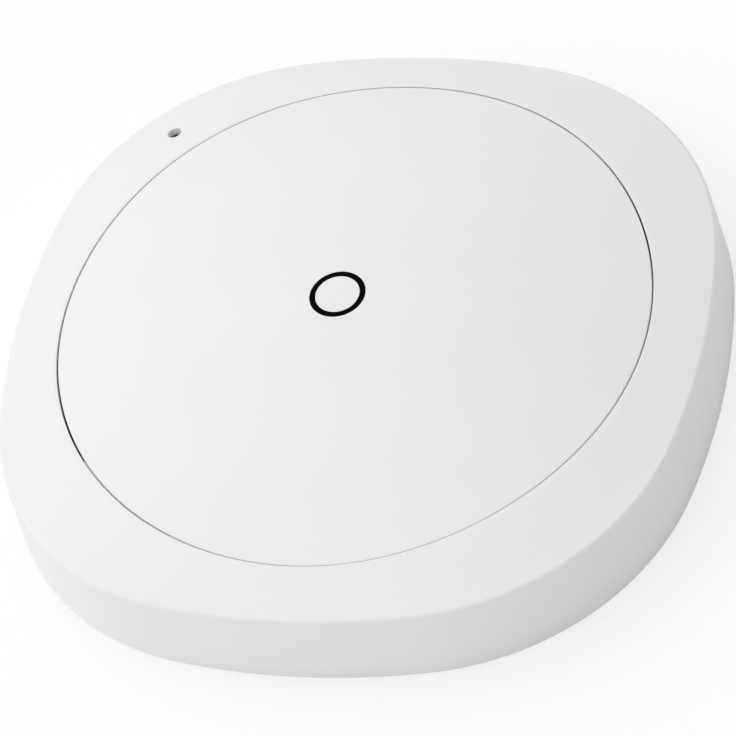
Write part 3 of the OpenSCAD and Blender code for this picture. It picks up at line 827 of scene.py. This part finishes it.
# Small parts: eight ceramic capacitors, eight resistors, one large moulded capacitor and the light, soldered
# to the front of the board. Each has tinned ends, and a darker bar marks one end of the large capacitor.
capacitors = [(-16 + 3.9 * j, 7 + 2.6 * i) for j in range(2) for i in range(4)]
resistors = [(-5 + 2.7 * j, 17 - 1.8 * i) for j in range(2) for i in range(4)]
ceramic = moulded("ceramic", (0.4, 0.3, 0.2), 0.55, 0.006)
for name, places, size, material, slot, node in (
        ("capacitor_chips", capacitors, (1.96, 1.21, 0.76), ceramic, "ceramic", "chip_capacitors"),
        ("resistor_chips", resistors, (1.56, 0.76, 0.46), black_plastic, "black_plastic", "chip_resistors")):
    chips = begin(name)
    add_block((*places[0], board_top + 0.02 + size[2] / 2), size, 0.06)
    bpy.ops.mesh.select_all(action="SELECT")
    copy_along(places)
    close()
    polish(chips)
    mount(chips, "front_unit", slot, material, node)

bulk_x, bulk_y = 14, 10
bulk_size = (7.0, 4.3, 2.5)
bulk_low = board_top + 0.1
bulk_tone = (0.55, 0.24, 0.05)
bar_x, bar_half = bulk_x + 2.4, 0.45
bulk_case = begin("bulk_case")
add_block((bulk_x, bulk_y, bulk_low + bulk_size[2] / 2), bulk_size)
pick(lambda p: p.z > board_top + 2, "FACE")
bpy.ops.transform.resize(value=(0.95, 0.93, 1), center_override=Vector((bulk_x, bulk_y, 0)) * mm)
bpy.ops.mesh.select_all(action="SELECT")
bpy.ops.mesh.bevel(offset=0.15 * mm, segments=3)
close()
polish(bulk_case)
capacitor_resin = moulded("capacitor_resin", bulk_tone, 0.45, 0.008)
tree = capacitor_resin.node_tree
spot = add(tree, "ShaderNodeTexCoord")
parts = add(tree, "ShaderNodeSeparateXYZ", Vector=(spot, "Object"))
bar = reckon(tree, "COMPARE", (parts, "X"), bar_x * mm, bar_half * mm)
plug(tree, tree.nodes["Group"], Tone=blend(tree, bar, (*bulk_tone, 1), (0.16, 0.06, 0.02, 1)))
mount(bulk_case, "front_unit", "capacitor_resin", capacitor_resin, "bulk_capacitor")

light_angle = math.radians(135)
status_light = begin("status_light")
add_block((light_x, light_y, board_top + 0.15), (1.96, 1.21, 0.28), 0.04, light_angle)
close()
lens = begin("lens")
add_block((light_x, light_y, board_top + 0.35), (1.2, 1.25, 0.5), 0.1, light_angle)
close()
fit(status_light, lens, "UNION")
polish(status_light)
led_resin = moulded("led_resin", (0.85, 0.82, 0.7), 0.25, 0.003)
mount(status_light, "front_unit", "led_resin", led_resin, "status_led")

tinned_ends = begin("tinned_ends")
for places, size, reach in ((capacitors, (0.4, 1.25, 0.8), 0.8), (resistors, (0.32, 0.8, 0.5), 0.64),
                            ([(bulk_x, bulk_y)], (0.15, 2.4, 1.4), 3.575)):
    for side in (-reach, reach):
        x, y = places[0]
        add_block((x + side, y, board_top + size[2] / 2), size, 0.05)
        bpy.ops.mesh.select_linked()
        copy_along(places)
for side in (-0.85 * diagonal, 0.85 * diagonal):
    add_block((light_x - side, light_y + side, board_top + 0.15), (0.3, 1.25, 0.3), 0.04, light_angle)
close()
polish(tinned_ends)
mount(tinned_ends, "front_unit", "tinned_steel", tinned_steel)


# Battery holder: a low black ring, moulded in glass-filled nylon, that stands on the wall side of the board.
# It is open to one side, so that the cell can slide out.
holder_in, holder_out = 10.3, 11.8
holder_low = 2.35
mouth_place = (0, -6.9, 4)
mouth_size = (16.4, 11.8, 6)
holder = begin("holder")
holder_line = [(holder_in, board_z), (holder_in, holder_low), (holder_out, holder_low),
               (holder_out, board_z), (holder_in, board_z)]
add_turned(0, 0, holder_line, 128, [(1, 0.3, 3), (2, 0.3, 3)])
close()
mouth = begin("mouth")
add_block(mouth_place, mouth_size)
close()
fit(holder, mouth, "DIFFERENCE")
polish(holder)
mount(holder, "front_unit", "black_plastic", black_plastic, "battery_holder")


# Positive clip: a sprung strap of tinned steel that runs under the cell and is soldered down at both ends.
# The negative contact, a strip with a pressed dimple, lies on the board above the cell.
clip_w = 6
clip_end = 14.1
half = [(12.4, 1.7), (12.4, 5.3), (clip_end, 5.3), (clip_end, board_z), (12.1, board_z), (12.1, 2.0)]
line = [(0, 1.7)] + half + [(-x, z) for x, z in reversed(half)]
clip = begin("clip")
push_out([(x, -clip_w / 2, z) for x, z in line], (0, clip_w, 0), [(i, 0.35, 4) for i in (1, 5, 8, 12)])
close()
polish(clip, 50)
mount(clip, "front_unit", "tinned_steel", tinned_steel, "positive_clip")
dress("negative_contact", tinned_steel)
drops = [(clip_end * side, 0, (1.2, 5.6, 0.5)) for side in (1, -1)]
drops += [(reset_x + 2.1 * sx, reset_y + 0.8 * sy, (0.9, 0.7, 0.5)) for sx in (-1, 1) for sy in (1, -1)]
solder = begin("solder")
for x, y, size in drops:
    bpy.ops.mesh.primitive_uv_sphere_add(segments=24, ring_count=12, radius=0.5 * mm,
                                         location=Vector((x, y, board_z)) * mm, scale=size)
close()
polish(solder)
mount(solder, "front_unit", "tinned_steel", tinned_steel)


# Coin cell: a 20 by 3.2 mm lithium cell, its steel can turned to the wall with a shallow pressed ring.
# A dark sealing ring shows between the can and the smaller lid on the board side.
cell_r = 10
cell_z = 2.05
groove_z = cell_z + 0.05
can_edge = cell_z + 2.9
seal_z = can_edge - 0.1
seal_in, seal_out = 8.95, 9.2
seal_mid, seal_half = 9.08, 0.14
lid_r = 8.9
lid_z = cell_z + 3.2
cell = begin("cell")
cell_line = [(0, cell_z), (7.6, cell_z), (7.8, groove_z), (8.4, groove_z), (8.6, cell_z), (cell_r, cell_z),
             (cell_r, can_edge), (9.25, can_edge), (seal_out, seal_z), (seal_in, seal_z), (lid_r, lid_z),
             (0, lid_z)]
add_turned(0, 0, cell_line, 128, [(5, 0.35, 5), (6, 0.25, 4), (10, 0.2, 3)])
close()
polish(cell)
cell_steel, tree, out = new_material("cell_steel")
spot = add(tree, "ShaderNodeTexCoord")
parts = add(tree, "ShaderNodeSeparateXYZ", Vector=(spot, "Object"))
plane = add(tree, "ShaderNodeCombineXYZ", X=(parts, "X"), Y=(parts, "Y"))
reach = add(tree, "ShaderNodeVectorMath", {"operation": "LENGTH"}, Vector=(plane, "Vector"))
ringed = add(tree, "ShaderNodeCombineXYZ", X=(parts, "Z"), Y=(reach, "Value"))
metal = add(tree, "ShaderNodeGroup", {"node_tree": metal_group}, Spot=(ringed, "Vector"),
            Tone=(0.7, 0.7, 0.69, 1.0), Gloss=0.24)
inside = reckon(tree, "GREATER_THAN", (parts, "Z"), (seal_z - 0.02) * mm)
between = reckon(tree, "COMPARE", (reach, "Value"), seal_mid * mm, seal_half * mm)
seal = reckon(tree, "MULTIPLY", inside, between)
bump = add(tree, "ShaderNodeBump", Strength=0.1, Distance=0.006 * mm, Height=(metal, "Height"))
tone = blend(tree, seal, (metal, "Color"), (0.02, 0.02, 0.02, 1))
bare = reckon(tree, "SUBTRACT", 1.0, seal)
skin = add(tree, "ShaderNodeBsdfPrincipled", Base_Color=tone, Metallic=bare, Roughness=(metal, "Roughness"),
           Normal=(bump, "Normal"))
plug(tree, out, Surface=(skin, "BSDF"))
mount(cell, "front_unit", "cell_steel", cell_steel, "coin_cell")


# Reset switch: a small pairing switch on the wall side of the board, a black body under a tinned cover plate.
# Four rivet heads hold the plate, and the stem is pressed in with a pin.
reset_size = (4.2, 3.2)
reset_low = board_z - 1.5
reset_face = reset_low - 0.2
reset_well_r, reset_well_z = 1.2, 5.15
reset_hole_r = 0.9
rivet_r, rivet_rise = 0.28, 0.08
reset_body = begin("reset_body")
add_block((reset_x, reset_y, (reset_low + board_z) / 2), (*reset_size, board_z - reset_low), 0.12)
close()
well = begin("reset_well")
add_rod(reset_x, reset_y, reset_well_r, reset_low - 0.6, reset_well_z, 40)
close()
fit(reset_body, well, "DIFFERENCE")
polish(reset_body)
mount(reset_body, "front_unit", "black_plastic", black_plastic, "reset_base")
reset_plate = begin("reset_plate")
add_slab(reset_x, reset_y, reset_size, reset_face, reset_low, 0.35, 4)
pick(lambda p: p.z < reset_face + 0.005, "EDGE")
bpy.ops.mesh.bevel(offset=0.05 * mm, segments=2)
close()
hole = begin("reset_hole")
add_rod(reset_x, reset_y, reset_hole_r, reset_face - 0.9, reset_low + 0.9, 40)
close()
fit(reset_plate, hole, "DIFFERENCE")
rivets = begin("rivets")
for sx, sy in ((-1, -1), (-1, 1), (1, -1), (1, 1)):
    x, y = reset_x + 1.6 * sx, reset_y + 1.1 * sy
    add_rod(x, y, rivet_r, reset_face - rivet_rise, reset_face + rivet_rise, 20, [(1, 0.1, 3)])
close()
fit(reset_plate, rivets, "UNION")
polish(reset_plate)
mount(reset_plate, "front_unit", "tinned_steel", tinned_steel, "reset_frame")
reset_tip = 3.3
reset_pin_r = 0.75
reset_foot_r = 1.05
reset_foot_z = reset_low + 0.05
reset_end = 4.65
reset_stem = begin("reset_stem_pin")
reset_line = [(0, reset_tip), (reset_pin_r, reset_tip), (reset_pin_r, reset_foot_z),
              (reset_foot_r, reset_foot_z), (reset_foot_r, reset_end), (0, reset_end)]
add_turned(reset_x, reset_y, reset_line, 40, [(1, 0.2, 4)])
close()
polish(reset_stem)
mount(reset_stem, "reset_stem", "black_plastic", black_plastic, "reset_plunger")


# Test pads: five gold-plated copper discs, etched on the wall side of the board.
# Sprung pins touch them in the factory, when the finished board is tested.
dress("test_pads", gold_plate)


# Button cap: the large crowned button, moulded in the same white as the housing and flush with it.
# Its skirt runs in the opening on four guide lands, with a snap hook below each.
# It rests a little to one side in its opening, so the seam is finest on the near side.
cap_r = 29.17
cap_t = 1.8
cap_rows = 10
skirt_in = 27.75
skirt_rows = 5
skirt_z = 8.6
rim_band = cap_r - 0.1
rim_shift = 0.035
rim_oval = 0.0013
rim_oval_angle = math.radians(150)
rim_near, rim_far = 1.0058, 1.0015
top_reach = [cap_r * (1 - i / cap_rows) for i in range(cap_rows + 1)]
inner_reach = [skirt_in * i / skirt_rows for i in range(skirt_rows + 1)]
top_line = [(x, crown(x, 0)) for x in top_reach]
inner_line = [(x, crown(x, 0) - cap_t) for x in inner_reach]
button_crown = begin("button_crown")
add_turned(0, 0, inner_line + [(skirt_in, skirt_z), (cap_r, skirt_z)] + top_line, ring_steps,
           [(skirt_rows + 1, 0.1, 2), (skirt_rows + 2, 0.1, 2)])
weld()
move_points(lambda p: math.hypot(p.x, p.y) > 0.1 and p.z > crown(math.hypot(p.x, p.y), 0) - 0.01,
            lambda p: crown(p.x, p.y))
pick(lambda p: abs(math.hypot(p.x, p.y) - cap_r) < 0.02 and p.z > seam_low, "EDGE")
bpy.ops.mesh.bevel(offset=seam_edge * mm, segments=3)
pick(lambda p: math.hypot(p.x, p.y) > rim_band)
bpy.ops.transform.translate(value=(rim_shift * mm, 0, 0))
bpy.ops.transform.resize(value=(1 + rim_oval, 1 - rim_oval, 1), orient_type="GLOBAL",
                         orient_matrix=Matrix.Rotation(rim_oval_angle, 3, "Z"), orient_matrix_type="GLOBAL",
                         center_override=(0, 0, 0))
for low, high, wider in ((-30, -1, rim_near), (1, 30, rim_far)):
    pick(lambda p: math.hypot(p.x, p.y) > rim_band and low < p.y < high)
    bpy.ops.transform.resize(value=(1, wider, 1), center_override=(0, 0, 0))
close()

land_r = bore_r - 0.05
land_in = skirt_in + 0.4
land_arc = math.radians(14.6)
land_end = math.pi / 4 + land_arc / 2
land_drop = 0.45
land_top = crown(land_r * math.cos(land_end), land_r * math.sin(land_end)) - land_drop
hook_r = bore_r + 0.75
hook_low, hook_mid, hook_top = 7.3, 7.6, 7.9
land_line = [(land_in, hook_low), (land_r, hook_low), (hook_r, hook_mid), (hook_r, hook_top),
             (land_r, hook_top), (land_r, land_top), (land_in, land_top), (land_in, hook_low)]
guides = begin("guides")
for quarter in range(4):
    way = Matrix.Rotation(math.radians(45 + 90 * quarter) - land_arc / 2, 3, "Z")
    draw([way @ Vector((x, 0, z)) for x, z in land_line])
    turn_about(0, 0, 16, land_arc)
close()
fit(button_crown, guides, "UNION")

rib_reach, rib_half = 19, 0.5
rib_top = 12.9
boss_z = stem_top + 0.05
press_boss_r, press_boss_top = 2.9, 13.5
for across, deep in ((rib_reach, rib_half), (rib_half, rib_reach)):
    rib = begin("rib")
    add_block((0, 0, (boss_z + rib_top) / 2), (2 * across, 2 * deep, rib_top - boss_z))
    close()
    fit(button_crown, rib, "UNION")
boss = begin("boss")
add_rod(0, 0, press_boss_r, boss_z, press_boss_top, 64, [(1, 0.2, 2)])
close()
fit(button_crown, boss, "UNION")

ring_x = -0.65
ring_out, ring_in = 2.75, 2.2
ring_fit = 0.025
ring_low = 14.3
narrow, wide = ring_in - ring_fit, ring_out + ring_fit
groove_top = 16
groove = begin("groove")
add_turned(ring_x, 0, [(narrow, ring_low), (wide, ring_low), (wide, groove_top), (narrow, groove_top),
                       (narrow, ring_low)], 128)
close()
fit(button_crown, groove, "DIFFERENCE")
polish(button_crown)
mount(button_crown, "button", "white_shell", white_shell, "button_cap")


# Ring mark: a plain ring of matt black plastic in the middle of the button.
# It is moulded into its groove and flush with the crown.
ring_top = 14.62
ring_inlay = begin("ring_inlay")
add_turned(ring_x, 0, [(ring_in, ring_low), (ring_out, ring_low), (ring_out, ring_top),
                       ((ring_out + ring_in) / 2, ring_top), (ring_in, ring_top), (ring_in, ring_low)], 128)
weld()
move_points(lambda p: p.z > ring_top - 0.12, lambda p: crown(p.x, p.y) + 0.005)
close()
polish(ring_inlay)
black_mark = moulded("black_mark", (0.002, 0.002, 0.002), 0.7, 0.004, 0.02)
mount(ring_inlay, "button", "black_mark", black_mark, "ring_mark")


# Studio: a pale paper floor in a white tent that is lit from the left and from above.
# The floor is open under the object, clear from below, and lets light through close to the object,
# so that the back is lit and can be seen as well.
floor_z = -0.05
floor_reach = 3000
glow_share = 0.6
clear_reach = 4
floor = begin("floor")
draw([(cover_x - 0.7, 0, floor_z), (floor_reach, 0, floor_z)])
sweep_outline(8, 8)
weld()
bpy.ops.object.mode_set(mode="OBJECT")
paper, tree, out = new_material("paper")
spot = add(tree, "ShaderNodeTexCoord")
fibre = noise(tree, (spot, "Object"), 900.0, 3.0)
sheet = add(tree, "ShaderNodeBsdfDiffuse", Color=spread(tree, fibre, 0.92, 0.94))
glow = add(tree, "ShaderNodeEmission", Color=(1, 1, 1, 1), Strength=1.0)
rays = add(tree, "ShaderNodeLightPath")
share = reckon(tree, "MULTIPLY", (rays, "Is Camera Ray"), glow_share)
lit = add(tree, "ShaderNodeMixShader", _0=share, _1=(sheet, "BSDF"), _2=(glow, "Emission"))
close_by = reckon(tree, "LESS_THAN", (rays, "Ray Length"), clear_reach * mm)
under = reckon(tree, "MULTIPLY", close_by, (rays, "Is Diffuse Ray"))
side = add(tree, "ShaderNodeNewGeometry")
clear = reckon(tree, "MAXIMUM", under, (side, "Backfacing"))
none = add(tree, "ShaderNodeBsdfTransparent")
one_sided = add(tree, "ShaderNodeMixShader", _0=clear, _1=(lit, "Shader"), _2=(none, "BSDF"))
plug(tree, out, Surface=(one_sided, "Shader"))
floor.data.materials.append(paper)

scene = bpy.context.scene
scene.world = bpy.data.worlds.new("tent")
scene.world.use_nodes = True
tent = scene.world.node_tree
tent.nodes.clear()
spot = add(tent, "ShaderNodeTexCoord")
level = 0.04
for way, strength in (((-1, 0, 0), 1.05), ((0, 0, 1), 1.04), ((0, -1, 0), 0.2), ((0, 1, 0), 0.16),
                      ((0, 0, -1), 0.8)):
    facing = add(tent, "ShaderNodeVectorMath", {"operation": "DOT_PRODUCT"}, _0=(spot, "Generated"), _1=way)
    seen = reckon(tent, "MAXIMUM", (facing, "Value"), 0.0)
    level = reckon(tent, "MULTIPLY_ADD", seen, strength, level)
rays = add(tent, "ShaderNodeLightPath")
height = add(tent, "ShaderNodeSeparateXYZ", Vector=(spot, "Generated"))
above = reckon(tent, "GREATER_THAN", (height, "Z"), 0.0)
backdrop = reckon(tent, "MULTIPLY", above, (rays, "Is Camera Ray"))
shown = add(tent, "ShaderNodeMix", _0=backdrop, _2=level, _3=1.0)
back = add(tent, "ShaderNodeBackground", Color=(1, 1, 1, 1), Strength=(shown, 0))
add(tent, "ShaderNodeOutputWorld", Surface=(back, "Background"))

camera_place = Vector((187.393, -381.455, 500.311))
camera_angles = (38.9629, 12.1541, 11.5846)
bpy.ops.object.camera_add(location=camera_place * mm, rotation=[math.radians(a) for a in camera_angles])
camera = bpy.context.object
camera.name = "camera"
camera.data.sensor_width = 36
camera.data.lens = 329.97
camera.data.clip_start = 0.01
camera.data.clip_end = 20
scene.camera = camera
scene.view_settings.view_transform = "Standard"
